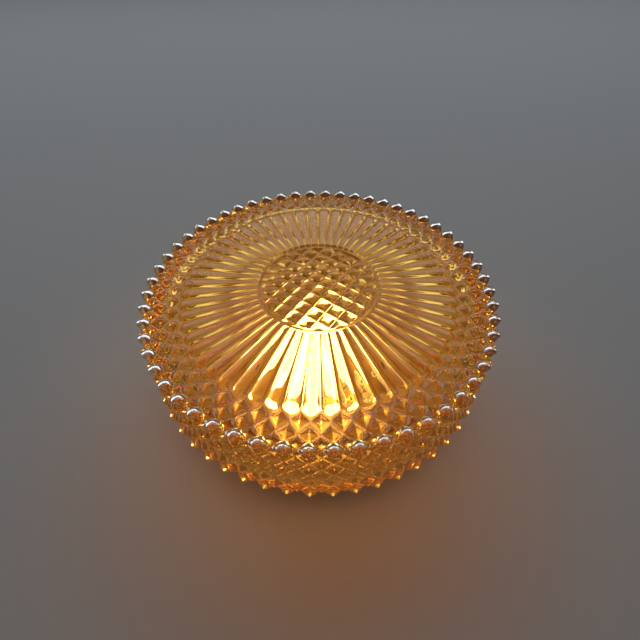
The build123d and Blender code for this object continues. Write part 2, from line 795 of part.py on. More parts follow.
def lamp_group():
    """The nodes laid out with the lamp along X, by name."""
    return {
        "terminal_block_body": terminal_block_body(),
        "terminal_tubes": terminal_tubes(),
        "terminal_screws": terminal_screws(),
        "terminal_block_screw": terminal_block_screw(),
        "terminal_block_nut": terminal_block_nut(),
        "lead_live": lamp_lead(0, 1, LIVE_BENDS),
        "lead_neutral": lamp_lead(1, -1, NEUTRAL_BENDS),
        "lead_earth": earth_lead(),
        "earth_lug": earth_lug(),
        "earth_washer": earth_washer(),
        "earth_screw": earth_screw(),
        "earth_nut": earth_nut(),
        "lampholder_bracket": lampholder_bracket(),
        "bracket_screws": bracket_screws(),
        "bracket_nuts": bracket_nuts(),
        "lampholder_body": lampholder_body(),
        "lampholder_shell": lampholder_shell(),
        "lampholder_centre_contact": lampholder_centre_contact(),
        "lampholder_screws": lampholder_screws(),
        "lampholder_terminal_screws": lampholder_terminal_screws(),
        "bulb_envelope": bulb_envelope(),
        "bulb_cap": bulb_cap(),
        "bulb_insulator": bulb_insulator(),
        "bulb_contact": bulb_contact(),
        "bulb_stem": bulb_stem(),
        "bulb_lead_wires": bulb_lead_wires(),
        "bulb_support_wires": bulb_support_wires(),
        "bulb_filament": bulb_filament(),
    }


os.makedirs("parts", exist_ok=True)
for name, solid in fixed_parts().items():
    export_step(solid, f"parts/{name}.step")
for name, solid in lamp_group().items():
    export_step(Rot(0, 0, LAMP_TURN) * solid, f"parts/{name}.step")
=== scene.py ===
import json
from math import cos, pi, radians, sin

import bmesh
import bpy
import numpy as np
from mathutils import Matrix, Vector, noise


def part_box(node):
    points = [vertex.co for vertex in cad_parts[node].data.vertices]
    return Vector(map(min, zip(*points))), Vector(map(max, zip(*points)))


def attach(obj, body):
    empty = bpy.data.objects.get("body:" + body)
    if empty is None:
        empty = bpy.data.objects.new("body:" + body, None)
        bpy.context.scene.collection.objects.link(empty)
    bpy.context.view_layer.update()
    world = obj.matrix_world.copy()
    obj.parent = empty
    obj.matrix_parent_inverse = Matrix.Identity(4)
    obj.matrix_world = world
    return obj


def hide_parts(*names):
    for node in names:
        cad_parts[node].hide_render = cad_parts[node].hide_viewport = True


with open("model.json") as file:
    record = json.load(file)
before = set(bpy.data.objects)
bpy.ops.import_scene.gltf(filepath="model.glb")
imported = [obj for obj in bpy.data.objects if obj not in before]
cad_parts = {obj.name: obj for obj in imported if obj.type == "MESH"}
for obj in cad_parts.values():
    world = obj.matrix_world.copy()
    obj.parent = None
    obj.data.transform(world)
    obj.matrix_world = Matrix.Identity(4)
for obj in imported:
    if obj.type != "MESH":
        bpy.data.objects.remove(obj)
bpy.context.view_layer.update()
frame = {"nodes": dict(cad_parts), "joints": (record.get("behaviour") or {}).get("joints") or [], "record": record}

# Blender's unit is the metre. The named sizes below are millimetres and go through MM.
MM = 0.001

# ---------------------------------------------------------------- sizes of the glass
shade_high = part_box("glass_shade")[1]
FACE_Z = shade_high.z / MM  # top of the lens and of the corner ring of studs
OUTER_R = shade_high.x / MM  # over the lowest ring of studs

COLUMNS = 56
PHASE = 3.7  # azimuth of the first petal's middle line, in degrees
HALF_COLUMN_STEPS = (0.0, 0.12, 0.36, 0.64, 0.88)
ROW_STEPS = (0.0, 0.12, 0.36, 0.64, 0.88)

WALL_ROWS = 8
WALL_ROW_PITCH = 7.3
CORNER_DROP = 4.3
WALL_FLARE = 0.57
STUD_HEIGHT = 4.6
WALL_TOP_R = OUTER_R - WALL_ROWS * WALL_FLARE
SHOULDER_RINGS = 3
SHOULDER_PITCH = 7.0
SHOULDER_R = 124.2  # the shoulder's rings count inwards from here
SHOULDER_FALL = 0.4
SHOULDER_STUD_HEIGHT = 5.0
FOOT_RING = (120.5, 45.0)

# the corner ring of studs: rounded four-sided points that lean out and up
CORNER_RING_R = 120.0  # of the studs' centres
CORNER_Z = FACE_Z - 4.8
CORNER_LEAN = 22.0  # degrees above level
CORNER_HALF = (6.6, 6.9, 4.8)  # outwards, along the ring, across
CORNER_POWER = 1.55  # 1 is sharp and 2 is round

PETAL_BASE_DROP = 5.2
PETAL_INNER_DROP = 1.8
PETAL_RISE = 2.9
PETAL_OUTER_END = 98.0
PETAL_INNER_END = 43.0
PETAL_FULLNESS = 3.2
PETAL_RINGS = 46

LENS_R = 42.0
LENS_RIM = 1.0
LENS_RIM_DROP = 0.7  # of the rim under the pillows' tops, and again over its round edge
LENS_CELL = 9.75
LENS_TURN = -35.0  # degrees
LENS_SHIFT = (0.334, 0.61)  # in cells
LENS_GROOVE = 3.2
LENS_FULLNESS = 0.55  # lower is rounder at the grooves
LENS_GRID = 128

PLAIN_COLUMNS = 280
# (radius, height) of the plain skin from below the studs, round the neck and up the inside
BELLY = (
    (119.2, 41.5), (116.4, 37.2), (112.6, 32.8), (108.0, 28.8), (103.0, 25.4),
    (98.0, 22.9), (94.4, 21.0), (92.4, 18.8), (92.0, 15.0), (92.0, 6.0), (91.2, 3.5),
)
INSIDE = (
    (88.3, 3.5), (87.5, 6.0), (87.5, 15.0), (88.0, 19.4), (90.6, 23.0), (96.0, 26.2),
    (102.0, 30.6), (107.6, 35.6), (111.8, 40.8), (114.4, 46.0), (115.5, 51.0),
    (114.9, 62.0), (114.2, 75.0), (113.5, 86.0), (112.8, 90.2), (110.8, 93.2),
    (107.0, 94.5), (95.0, 94.5), (75.0, 94.5), (50.0, 94.5), (25.0, 94.5), (6.0, 94.5),
)


# ---------------------------------------------------------------- mesh helpers
def mesh_object(name, points, faces, smooth=True):
    """A mesh piece from lists of points and faces, its faces all turned outwards."""
    mesh = bpy.data.meshes.new(name)
    mesh.from_pydata([tuple(p) for p in points], [], [tuple(f) for f in faces])
    mesh.update()
    bm = bmesh.new()
    bm.from_mesh(mesh)
    bmesh.ops.recalc_face_normals(bm, faces=bm.faces)
    if bm.calc_volume(signed=True) < 0:
        bmesh.ops.reverse_faces(bm, faces=bm.faces)
    bm.to_mesh(mesh)
    bm.free()
    mesh.polygons.foreach_set("use_smooth", [smooth] * len(mesh.polygons))
    obj = bpy.data.objects.new(name, mesh)
    bpy.context.scene.collection.objects.link(obj)
    return obj


class Skin:
    """Rings of points round the Z axis, joined into one skin."""

    def __init__(self):
        self.points = []
        self.faces = []

    def ring(self, radius, height, angle):
        """Adds a ring in millimetres and radians, and gives its point numbers."""
        radius, height, angle = np.broadcast_arrays(radius, height, angle)
        first = len(self.points)
        for r, z, a in zip(radius, height, angle):
            self.points.append((r * cos(a) * MM, r * sin(a) * MM, z * MM))
        return list(range(first, len(self.points)))

    def add(self, points):
        """Adds points in millimetres, and gives their numbers."""
        first = len(self.points)
        self.points.extend(tuple(p * MM) for p in points)
        return list(range(first, len(self.points)))

    def join(self, one, other):
        """Quads between two rings of equal count."""
        for k in range(len(one)):
            n = (k + 1) % len(one)
            self.faces.append((one[k], one[n], other[n], other[k]))

    def zip(self, one, other):
        """Triangles between two rings of unequal count that start at the same angle."""
        i = j = 0
        while i < len(one) or j < len(other):
            a, b = one[i % len(one)], other[j % len(other)]
            if (i + 1) / len(one) <= (j + 1) / len(other) and i < len(one):
                self.faces.append((a, one[(i + 1) % len(one)], b))
                i += 1
            else:
                self.faces.append((a, other[(j + 1) % len(other)], b))
                j += 1

    def cap(self, ring, height):
        """A fan from a ring to a point on the axis."""
        self.points.append((0.0, 0.0, height * MM))
        centre = len(self.points) - 1
        for k in range(len(ring)):
            self.faces.append((ring[k], ring[(k + 1) % len(ring)], centre))


# ---------------------------------------------------------------- the pressed pattern
def site(row):
    """(tip, valley) of a lattice row as (radius, height). Row 0 lies inside the corner studs,
    negative rows go in over the shoulder and positive rows go down the wall."""
    if row < -SHOULDER_RINGS:
        base = (SHOULDER_R + SHOULDER_PITCH * row, FACE_Z - PETAL_BASE_DROP)
        return base, base
    if row < 0:
        r, z = SHOULDER_R + SHOULDER_PITCH * row, FACE_Z + SHOULDER_FALL * row
        share = -row / (SHOULDER_RINGS + 1)
        deep = SHOULDER_STUD_HEIGHT + share * (PETAL_BASE_DROP - SHOULDER_STUD_HEIGHT)
        return (r, z), (r, min(z - 1.5, FACE_Z - deep))
    if row == 0:
        return (CORNER_RING_R + 2.0, CORNER_Z + 2.0), (CORNER_RING_R - 1.0, CORNER_Z + 0.5)
    if row > WALL_ROWS:
        return FOOT_RING, FOOT_RING
    r = WALL_TOP_R + WALL_FLARE * row
    z = FACE_Z - CORNER_DROP - WALL_ROW_PITCH * (row - 1)
    return (r, z), (r - STUD_HEIGHT, z)


def lattice_strip(row):
    """Rings from one lattice row to the next as (steps, columns, 2) of radius, height.
    Each cell between two rows is two flat facets that meet in a groove."""
    half_columns = np.arange(2 * COLUMNS)
    tips = (half_columns + row) % 2 == 0
    upper = np.where(tips[:, None], *map(np.array, site(row)))
    lower = np.where(tips[:, None], *map(np.array, site(row + 1)[::-1]))
    a0, a1 = upper, np.roll(upper, -1, axis=0)
    b0, b1 = lower, np.roll(lower, -1, axis=0)
    rings = []
    for t in ROW_STEPS:
        columns = []
        for s in HALF_COLUMN_STEPS:
            if s + t <= 1:
                leaning = a0 + s * (a1 - a0) + t * (b0 - a0)
            else:
                leaning = b1 + (1 - s) * (b0 - b1) + (1 - t) * (a1 - b1)
            if s >= t:
                other = a1 + (1 - s) * (a0 - a1) + t * (b1 - a1)
            else:
                other = b0 + s * (b1 - b0) + (1 - t) * (a0 - b0)
            columns.append(np.where(tips[:, None], leaning, other))
        rings.append(np.stack(columns, axis=1).reshape(-1, 2))
    return rings


def pattern_angles():
    """The azimuth of each column of points round the glass, in radians."""
    half_pitch = pi / COLUMNS
    steps = np.array(HALF_COLUMN_STEPS)
    turns = np.arange(2 * COLUMNS)[:, None] + steps[None, :]
    return radians(PHASE) + half_pitch * turns.ravel()


def groove_height(radius):
    """The height of the grooves between the petals, which climb towards the lens."""
    share = np.clip((radius - LENS_R) / (PETAL_OUTER_END - LENS_R), 0, 1)
    return FACE_Z - PETAL_INNER_DROP - share * (PETAL_BASE_DROP - PETAL_INNER_DROP)


def petal_height(radius, angle):
    """How far the petals stand above their grooves at points of the face."""
    pitch = 2 * pi / COLUMNS
    across = (angle - radians(PHASE)) / pitch
    across = 2 * (across - np.round(across))
    half_width = radius * pitch / 2
    outer_width = PETAL_OUTER_END * pitch / 2
    rise = PETAL_RISE * np.sqrt(half_width / outer_width)
    outwards = (radius - (PETAL_OUTER_END - outer_width)) / outer_width
    inner_width = PETAL_INNER_END * pitch / 2
    inwards = (PETAL_INNER_END + inner_width - radius) / inner_width
    along = np.clip(np.maximum(outwards, inwards), 0, None)
    left = 1 - np.abs(across) ** PETAL_FULLNESS - along**2
    return rise * np.sqrt(np.clip(left, 0, None))


def rounded(rings, strength, passes):
    """Eases the facets' edges, as fire polishing does."""
    for _ in range(passes):
        around = (np.roll(rings, 1, axis=1) + np.roll(rings, -1, axis=1)) / 2
        along = (rings[:-2] + rings[2:]) / 2
        rings = rings.copy()
        rings[1:-1] += strength * ((around[1:-1] + along) / 2 - rings[1:-1])
    return rings


def pattern_rings(angles):
    """All the patterned rings, from the lens's edge out and down to the foot ring."""
    start = site(-SHOULDER_RINGS - 1)[0][0]
    radii = np.linspace(LENS_R + 1.0, start, PETAL_RINGS, endpoint=False)
    rings = [np.tile(np.array((r, groove_height(r))), (len(angles), 1)) for r in radii]
    for row in range(-SHOULDER_RINGS - 1, WALL_ROWS + 1):
        rings.extend(lattice_strip(row))
    rings.append(np.tile(np.array(FOOT_RING), (len(angles), 1)))
    rings = rounded(np.array(rings), strength=0.4, passes=1)
    on_face = (rings[..., 0] < PETAL_OUTER_END) & (rings[..., 1] > FACE_Z - 8)
    petals = groove_height(rings[..., 0]) + petal_height(rings[..., 0], angles[None, :])
    rings[..., 1] = np.where(on_face, np.maximum(rings[..., 1], petals), rings[..., 1])
    return with_corner_studs(rings, angles)


def with_corner_studs(rings, angles):
    """The rings as points, with each point inside a corner stud pushed out to its surface."""
    radius, height = rings[..., 0], rings[..., 1]
    points = np.stack([radius * np.cos(angles), radius * np.sin(angles), height], axis=-1)
    pitch = 2 * pi / COLUMNS
    nearest = radians(PHASE) + pitch * np.round((angles - radians(PHASE)) / pitch)
    flat, up = np.zeros(len(angles)), np.ones(len(angles))
    outwards = np.stack([np.cos(nearest), np.sin(nearest), flat], axis=-1)
    upwards = np.stack([flat, flat, up], axis=-1)
    lean = radians(CORNER_LEAN)
    axes = (
        cos(lean) * outwards + sin(lean) * upwards,
        np.stack([-np.sin(nearest), np.cos(nearest), flat], axis=-1),
        cos(lean) * upwards - sin(lean) * outwards,
    )
    out = points - (CORNER_RING_R * outwards + CORNER_Z * upwards)
    shares = [abs((out * axis).sum(axis=-1)) / half for axis, half in zip(axes, CORNER_HALF)]
    reach = sum(share**CORNER_POWER for share in shares) ** (1 / CORNER_POWER)
    reach = np.maximum(reach, 1e-3)[..., None]
    return np.where(reach < 1, points + out * (1 / reach - 1), points)


def lens_height(x, y):
    """The lens's surface: a turned grid of pillows inside a plain rim."""
    turn = radians(LENS_TURN)
    u = (x * cos(turn) + y * sin(turn)) / LENS_CELL - LENS_SHIFT[0]
    v = (y * cos(turn) - x * sin(turn)) / LENS_CELL - LENS_SHIFT[1]
    u, v = 2 * abs(u - round(u)), 2 * abs(v - round(v))
    pillow = (1 - u * u) * (1 - v * v)
    height = LENS_GROOVE * (pillow**LENS_FULLNESS - 1)
    edge = (LENS_R - (x * x + y * y) ** 0.5) / LENS_RIM
    rim = -LENS_RIM_DROP * (1 + (1 - min(max(edge, 0), 1)) ** 2)
    share = min(max(edge - 0.6, 0), 1)
    return FACE_Z + share * height + (1 - share) * rim


def add_lens(skin, ring):
    """The lens as a square grid wrapped onto the disc, sewn to a ring of the skin."""
    first = len(skin.points)
    n = LENS_GRID
    for j in range(n + 1):
        for i in range(n + 1):
            u, v = 2 * i / n - 1, 2 * j / n - 1
            x = LENS_R * u * (1 - v * v / 2) ** 0.5
            y = LENS_R * v * (1 - u * u / 2) ** 0.5
            skin.points.append((x * MM, y * MM, lens_height(x, y) * MM))
    number = lambda i, j: first + j * (n + 1) + i
    for j in range(n):
        for i in range(n):
            corners = ((i, j), (i + 1, j), (i + 1, j + 1), (i, j + 1))
            skin.faces.append(tuple(number(*c) for c in corners))
    edge = [number(i, 0) for i in range(n)] + [number(n, j) for j in range(n)]
    edge += [number(i, n) for i in range(n, 0, -1)] + [number(0, j) for j in range(n, 0, -1)]
    azimuth = lambda k: np.arctan2(skin.points[k][1], skin.points[k][0])
    start = azimuth(ring[0])
    nearest = min(range(len(edge)), key=lambda k: abs(azimuth(edge[k]) - start))
    skin.zip(ring, edge[nearest:] + edge[:nearest])


def glass_shade():
    """The whole pressed shade as one closed skin."""
    skin = Skin()
    angles = pattern_angles()
    numbers = [skin.add(ring) for ring in pattern_rings(angles)]
    for one, other in zip(numbers, numbers[1:]):
        skin.join(one, other)
    foot = skin.ring(LENS_R + 0.5, FACE_Z - PETAL_INNER_DROP + 0.1, angles)
    skin.join(foot, numbers[0])
    add_lens(skin, foot)
    plain_angles = angles[0] + np.arange(PLAIN_COLUMNS) * 2 * pi / PLAIN_COLUMNS
    last = numbers[-1]
    for r, z in BELLY + INSIDE:
        ring = skin.ring(r, z, plain_angles)
        (skin.zip if len(last) != len(ring) else skin.join)(last, ring)
        last = ring
    skin.cap(last, INSIDE[-1][1])
    return mesh_object("pressed_glass_shade", skin.points, skin.faces)


# ---------------------------------------------------------------- the lamp's thread and coil
lamp_turn = next(j for j in frame["joints"] if j["name"] == "lamp_turn")
LAMP_AT = Vector(lamp_turn["pos_m"])
LAMP_AXIS = Vector(lamp_turn["axis"]).normalized()
UP = Vector((0, 0, 1))
LAMP_SIDE = UP.cross(LAMP_AXIS)

THREAD_PITCH = 3.629
THREAD_STEPS = 12  # stations in each turn
THREAD_SEGMENTS = 72
CAP_CREST_R = 13.1
CAP_THREAD_DEPTH = 0.38
SHELL_CREST_R = 13.25
SHELL_R = 14.0
SHELL_THREAD_DEPTH = 0.4

COIL_R = 0.36
COIL_WIRE_R = 0.09
COIL_PITCH = 0.42
COIL_STEPS = 8
COIL_SIDES = 5


def lamp_point(along, side, up):
    """A point in metres from millimetres along, beside and above the lamp's axis."""
    return LAMP_AT + (LAMP_AXIS * along + LAMP_SIDE * side + UP * up) * MM


def lamp_stretch(node):
    """The stretch of the lamp's axis that a CAD node covers, in millimetres."""
    spots = [(v.co - LAMP_AT).dot(LAMP_AXIS) / MM for v in frame["nodes"][node].data.vertices]
    return min(spots), max(spots)


def threaded_skin(name, outline):
    """A closed ring-shaped skin about the lamp's axis. Each point of the outline is
    (along, radius, depth), and depth is how far the right-hand thread moves it outwards."""
    points, faces = [], []
    count = len(outline)
    for along, radius, depth in outline:
        for k in range(THREAD_SEGMENTS):
            turn = 2 * pi * k / THREAD_SEGMENTS
            wave = (1 - cos(2 * pi * along / THREAD_PITCH - turn)) / 2
            r = radius + depth * wave
            points.append(lamp_point(along, r * cos(turn), r * sin(turn)))
    for i in range(count):
        for k in range(THREAD_SEGMENTS):
            n = (k + 1) % THREAD_SEGMENTS
            here, there = i * THREAD_SEGMENTS, (i + 1) % count * THREAD_SEGMENTS
            faces.append((here + k, here + n, there + n, there + k))
    return mesh_object(name, points, faces)


def thread_stations(start, end):
    return np.linspace(start, end, int(THREAD_STEPS * abs(end - start) / THREAD_PITCH))


def fade(along, start, end, over=1.6):
    """0 at both ends of the thread and 1 away from them."""
    return min(1.0, abs(along - start) / over, abs(along - end) / over)


def bulb_cap():
    """The screw cap as thin sheet rolled into the lamp's thread."""
    back, front = lamp_stretch("bulb_cap")
    thread = (front - 3.0, back + 3.0)
    outline = [(front, CAP_CREST_R - 0.1, 0), (front - 0.3, CAP_CREST_R, 0)]
    for along in thread_stations(*thread):
        outline.append((along, CAP_CREST_R, -CAP_THREAD_DEPTH * fade(along, *thread)))
    outline += [(back + 2.4, 12.75, 0), (back + 1.2, 12.3, 0), (back, 11.5, 0)]
    outline += [(back, 11.0, 0), (back + 3.2, 11.75, 0), (front - 13.0, 11.75, 0)]
    outline += [(front - 12.5, 12.6, 0), (front - 3.0, 12.6, 0), (front, 12.8, 0)]
    return threaded_skin("bulb_screw_cap", outline)


def lampholder_shell():
    """The screw shell of the holder, with the lamp's thread pressed into it."""
    back, front = lamp_stretch("lampholder_shell")
    thread = (back + 2.0, front - 0.8)
    outline = [(back, SHELL_R, 0), (back, 11.8, 0), (back + 0.7, 11.8, 0)]
    outline.append((back + 0.75, SHELL_CREST_R + 0.2, 0))
    for along in thread_stations(*thread):
        outline.append((along, SHELL_CREST_R, SHELL_THREAD_DEPTH * fade(along, *thread)))
    outline += [(front - 0.1, SHELL_CREST_R + 0.15, 0), (front, SHELL_CREST_R + 0.35, 0)]
    outline += [(front, SHELL_R - 0.1, 0), (front - 0.2, SHELL_R, 0)]
    return threaded_skin("lampholder_screw_shell", outline)


def filament_coil():
    """The glowing coil, bowed between the ends of the lamp's lead wires."""
    corners = [v.co - LAMP_AT for v in frame["nodes"]["bulb_filament"].data.vertices]
    along = [c.dot(LAMP_AXIS) / MM for c in corners]
    half = max(c.dot(LAMP_SIDE) for c in corners) / MM
    tip = max(along) - COIL_R - COIL_WIRE_R
    bow = max(along) - min(along) - 2 * (COIL_R + COIL_WIRE_R)
    points, faces = [], []
    count = int(2 * half / COIL_PITCH * COIL_STEPS)
    for k in range(count):
        side = half * (2 * k / (count - 1) - 1)
        turn = 2 * pi * k / COIL_STEPS
        out = (cos(turn), sin(turn))
        for m in range(COIL_SIDES):
            round_wire = 2 * pi * m / COIL_SIDES
            reach = COIL_R + COIL_WIRE_R * cos(round_wire)
            middle = tip - bow * (side / half) ** 2
            shift = COIL_WIRE_R * sin(round_wire)
            points.append(lamp_point(middle + reach * out[0], side + shift, reach * out[1]))
    for k in range(count - 1):
        for m in range(COIL_SIDES):
            n = (m + 1) % COIL_SIDES
            here, there = k * COIL_SIDES, (k + 1) * COIL_SIDES
            faces.append((here + m, here + n, there + n, there + m))
    faces.append(tuple(range(COIL_SIDES)))
    faces.append(tuple(range((count - 1) * COIL_SIDES, count * COIL_SIDES)))
    return mesh_object("filament_coil", points, faces)


# ---------------------------------------------------------------- the felt ring
FELT_SEGMENTS = 300
FELT_SIDES = 28
FELT_FLUFF = 0.16
FELT_GRAIN = 0.9
FELT_SIDE_POWER = 0.22  # lower is squarer
FELT_TOP_POWER = 0.4


def felt_gasket():
    """The felt ring under the neck: soft round edges and an uneven pressed surface."""
    low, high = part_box("shade_gasket")
    outer = high.x / MM
    corners = frame["nodes"]["shade_gasket"].data.vertices
    inner = min(v.co.xy.length for v in corners) / MM
    middle_r, half_w = (outer + inner) / 2, (outer - inner) / 2
    middle_z, half_h = (low.z + high.z) / 2 / MM, (high.z - low.z) / 2 / MM
    skin = Skin()
    numbers = []
    for k in range(FELT_SEGMENTS):
        turn = 2 * pi * k / FELT_SEGMENTS
        section = []
        for m in range(FELT_SIDES):
            a = 2 * pi * (m + 0.5) / FELT_SIDES
            x = np.sign(cos(a)) * abs(cos(a)) ** FELT_SIDE_POWER
            z = np.sign(sin(a)) * abs(sin(a)) ** FELT_TOP_POWER
            spot = Vector((middle_r * cos(turn), middle_r * sin(turn), 0)) + Vector((x, x, z)) * 2
            sunk = FELT_FLUFF * (0.5 + 0.5 * noise.noise(spot * FELT_GRAIN))
            r, h = middle_r + x * (half_w - sunk), middle_z + z * (half_h - sunk)
            section.append((r * cos(turn), r * sin(turn), h))
        numbers.append(skin.add(np.array(section)))
    for one, other in zip(numbers, numbers[1:] + numbers[:1]):
        skin.join(one, other)
    return mesh_object("felt_gasket", skin.points, skin.faces)


# ---------------------------------------------------------------- materials
# Painted glow on the glass: emission that stands for the lamp's light scattered in the glass, gathered in the tips
# of the studs.
PAINTED_GLASS_GLOW = 0.06
PAINTED_GLASS_GLOW_STOPS = ((0.965, (0.34, 0.19, 0.05)), (0.99, (1.0, 0.60, 0.18)))
BULB_GLOW = 26.0
BULB_GLOW_STOPS = (
    (0.0, (1.0, 0.90, 0.62)), (0.06, (0.90, 0.78, 0.50)), (0.13, (0.26, 0.215, 0.13)),
    (0.30, (0.20, 0.16, 0.09)), (0.38, (0.42, 0.34, 0.20)), (0.46, (0.24, 0.19, 0.11)),
    (1.0, (0.14, 0.105, 0.055)),
)
FILAMENT_GLOW = 40.0


class Shader:
    """A material with one Principled shader and short ways to add nodes to it."""

    def __init__(self, name, colour, roughness, metallic=0.0, **sockets):
        self.material = bpy.data.materials.new(name)
        self.material.use_nodes = True
        self.tree = self.material.node_tree
        self.tree.nodes.clear()
        self.out = self.tree.nodes.new("ShaderNodeOutputMaterial")
        self.bsdf = self.tree.nodes.new("ShaderNodeBsdfPrincipled")
        self.link(self.bsdf.outputs["BSDF"], self.out.inputs["Surface"])
        self.bsdf.inputs["Base Color"].default_value = (*colour, 1)
        self.bsdf.inputs["Roughness"].default_value = roughness
        self.bsdf.inputs["Metallic"].default_value = metallic
        for socket, value in sockets.items():
            self.bsdf.inputs[socket.replace("_", " ")].default_value = value

    def link(self, one, other):
        self.tree.links.new(one, other)

    def node(self, kind, **settings):
        made = self.tree.nodes.new("ShaderNode" + kind)
        for name, value in settings.items():
            setattr(made, name, value)
        return made

    def noise(self, scale, detail=3.0, stretch=(1, 1, 1)):
        """Noise over the object's own coordinates, whose unit is the metre."""
        where = self.node("TexCoord")
        mapping = self.node("Mapping")
        mapping.inputs["Scale"].default_value = stretch
        self.link(where.outputs["Object"], mapping.inputs["Vector"])
        made = self.node("TexNoise")
        made.inputs["Scale"].default_value = scale
        made.inputs["Detail"].default_value = detail
        self.link(mapping.outputs["Vector"], made.inputs["Vector"])
        return made.outputs["Fac"]

    def ramp(self, value, stops):
        """A colour ramp with (place, colour) stops."""
        made = self.node("ValToRGB")
        ramp = made.color_ramp
        while len(ramp.elements) < len(stops):
            ramp.elements.new(0.5)
        for element, (place, colour) in zip(ramp.elements, stops):
            element.position = place
            element.color = (*colour, 1)
        self.link(value, made.inputs["Fac"])
        return made.outputs["Color"]

    def spread(self, value, low, high, start=0.35, end=0.65):
        """A value mapped from start..end to low..high."""
        made = self.node("MapRange")
        made.inputs["From Min"].default_value = start
        made.inputs["From Max"].default_value = end
        made.inputs["To Min"].default_value = low
        made.inputs["To Max"].default_value = high
        self.link(value, made.inputs["Value"])
        return made.outputs["Result"]

    def bump(self, value, strength, distance):
        made = self.node("Bump")
        made.inputs["Strength"].default_value = strength
        made.inputs["Distance"].default_value = distance
        self.link(value, made.inputs["Height"])
        self.link(made.outputs["Normal"], self.bsdf.inputs["Normal"])


def textured(name, light, dark, roughness, metallic=0.0, grain=300.0, bump=0.1,
             stretch=(1, 1, 1), **sockets):
    """Colour that drifts between two shades, with a fine grain in the gloss and surface."""
    s = Shader(name, light, roughness[0], metallic, **sockets)
    broad = s.noise(grain / 10, 6.0, stretch)
    fine = s.noise(grain, 3.0, stretch)
    s.link(s.ramp(broad, ((0.36, dark), (0.62, light))), s.bsdf.inputs["Base Color"])
    s.link(s.spread(fine, *roughness), s.bsdf.inputs["Roughness"])
    s.bump(fine, bump, 0.0002)
    return s.material


def axis_distance(s):
    """The distance from the light's own axis, as 0 on it and 1 at the tips of the studs."""
    where = s.node("TexCoord")
    level = s.node("VectorMath", operation="MULTIPLY")
    level.inputs[1].default_value = (1000 / OUTER_R, 1000 / OUTER_R, 0)
    s.link(where.outputs["Object"], level.inputs[0])
    length = s.node("VectorMath", operation="LENGTH")
    s.link(level.outputs["Vector"], length.inputs[0])
    return length.outputs["Value"]


def amber_glass():
    """Pressed amber glass: clear skin with a slight ripple, colour in its depth, a painted glow that stands for
    the lamp's scattered light and is brightest at the outer studs, and lamps shine through it."""
    s = Shader("amber_glass", (1.0, 0.77, 0.40), 0.02, Transmission_Weight=1.0, IOR=1.5)
    # painted glow: emission that stands for scattered lamp light, brighter towards the outer studs
    s.bsdf.inputs["Emission Strength"].default_value = PAINTED_GLASS_GLOW
    s.link(s.ramp(axis_distance(s), PAINTED_GLASS_GLOW_STOPS), s.bsdf.inputs["Emission Color"])
    s.bump(s.noise(150.0, 2.0), 0.12, 0.0006)
    s.link(s.spread(s.noise(420.0, 3.0), 0.0, 0.05), s.bsdf.inputs["Roughness"])
    depth = s.node("VolumeAbsorption")
    depth.inputs["Color"].default_value = (0.99, 0.86, 0.42, 1)
    depth.inputs["Density"].default_value = 90.0
    s.link(depth.outputs["Volume"], s.out.inputs["Volume"])
    path = s.node("LightPath")
    clear = s.node("BsdfTransparent")
    clear.inputs["Color"].default_value = (0.95, 0.66, 0.28, 1)
    mix = s.node("MixShader")
    s.link(path.outputs["Is Shadow Ray"], mix.inputs["Fac"])
    s.link(s.bsdf.outputs["BSDF"], mix.inputs[1])
    s.link(clear.outputs["BSDF"], mix.inputs[2])
    s.link(mix.outputs["Shader"], s.out.inputs["Surface"])
    return s.material


def lit_bulb():
    """Frosted glass that glows: brightest in a line over the lamp's axis, and deeper gold
    towards its sides, its neck and its tip."""
    s = Shader("lit_bulb", (0.9, 0.82, 0.70), 0.4)
    where = s.node("TexCoord")
    beside = s.node("VectorMath", operation="DOT_PRODUCT")
    beside.inputs[1].default_value = LAMP_SIDE
    s.link(where.outputs["Object"], beside.inputs[0])
    apart = s.node("Math", operation="ABSOLUTE")
    s.link(beside.outputs["Value"], apart.inputs[0])
    off_line = s.spread(apart.outputs["Value"], 0.0, 0.6, 0.0, 0.030)
    centre = s.node("VectorMath", operation="DISTANCE")
    centre.inputs[1].default_value = lamp_point(24.0, 0, 0)
    s.link(where.outputs["Object"], centre.inputs[0])
    off_middle = s.spread(centre.outputs["Value"], 0.0, 0.4, 0.026, 0.055)
    both = s.node("Math", operation="ADD")
    s.link(off_line, both.inputs[0])
    s.link(off_middle, both.inputs[1])
    glow = s.ramp(both.outputs["Value"], BULB_GLOW_STOPS)
    s.link(glow, s.bsdf.inputs["Emission Color"])
    s.bsdf.inputs["Emission Strength"].default_value = BULB_GLOW
    s.bump(s.noise(900.0), 0.1, 0.0001)
    return s.material


def glowing_filament():
    s = Shader("glowing_filament", (0.5, 0.4, 0.3), 0.4)
    s.link(s.ramp(s.noise(400.0), ((0.3, (1.0, 0.60, 0.25)), (0.7, (1.0, 0.76, 0.42)))),
           s.bsdf.inputs["Emission Color"])
    s.bsdf.inputs["Emission Strength"].default_value = FILAMENT_GLOW
    return s.material


def felt():
    """Pressed wool: mottled greys, short fibres in the surface and a soft sheen."""
    s = Shader("grey_felt", (0.4, 0.38, 0.35), 0.95, Sheen_Weight=0.5, Sheen_Roughness=0.6)
    mottle = s.noise(700.0, 8.0)
    s.link(s.ramp(mottle, ((0.34, (0.26, 0.24, 0.22)), (0.66, (0.44, 0.41, 0.37)))),
           s.bsdf.inputs["Base Color"])
    s.bump(s.noise(2200.0, 6.0, (1, 1, 3)), 0.6, 0.0004)
    return s.material


